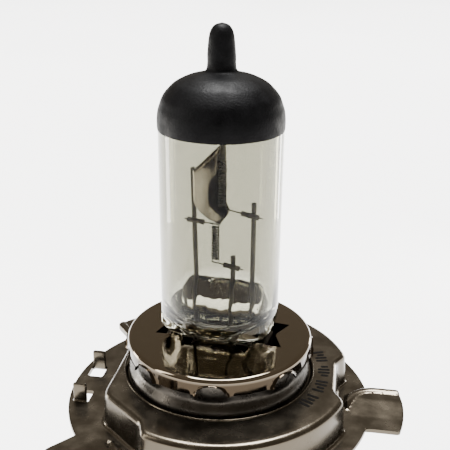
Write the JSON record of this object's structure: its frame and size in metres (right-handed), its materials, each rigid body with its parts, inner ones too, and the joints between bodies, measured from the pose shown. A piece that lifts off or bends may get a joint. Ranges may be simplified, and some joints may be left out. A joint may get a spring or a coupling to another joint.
{
  "type": "headlight bulb",
  "caption": "Twin-filament halogen headlight bulb with a black-coated quartz burner, scalloped metal cap, three-lug locating flange and blade terminals.",
  "frame": {"origin": "bulb axis, in the front face of the flange plate", "axes": "+Z along the bulb axis to the glass tip, +X through the middle of the reference lug"},
  "size_m": [0.0477, 0.0453, 0.082],
  "materials": {
    "clear_quartz": "clear polished quartz",
    "black_coating": "matte black",
    "tungsten": "drawn wire",
    "polished_molybdenum": "polished",
    "molybdenum_wire": "drawn wire",
    "nickelled_cap": "bright, warm",
    "nickelled_steel": "satin, warm",
    "moulded_insulator": "moulded, matte",
    "tinned_brass": "tinned"
  },
  "bodies": {
    "root": {"quartz_envelope": "clear_quartz", "black_top_coating": "black_coating", "quartz_bridge": "clear_quartz", "dipped_beam_filament": "tungsten", "main_beam_filament": "tungsten", "dipped_beam_shield": "polished_molybdenum", "common_post": "molybdenum_wire", "main_post": "molybdenum_wire", "dipped_post": "molybdenum_wire", "common_clamp": "molybdenum_wire", "main_clamp": "molybdenum_wire", "dipped_clamp": "molybdenum_wire", "shield_clamp": "molybdenum_wire", "common_foil": "molybdenum_wire", "main_foil": "molybdenum_wire", "dipped_foil": "molybdenum_wire", "common_lead": "molybdenum_wire", "main_lead": "molybdenum_wire", "dipped_lead": "molybdenum_wire", "burner_cap": "nickelled_cap", "burner_sleeve": "nickelled_steel", "pinch_clamp": "nickelled_steel", "locating_flange": "nickelled_steel", "rear_shell": "nickelled_steel", "insulator": "moulded_insulator", "common_blade": "tinned_brass", "main_blade": "tinned_brass", "dipped_blade": "tinned_brass"}
  },
  "joints": []
}
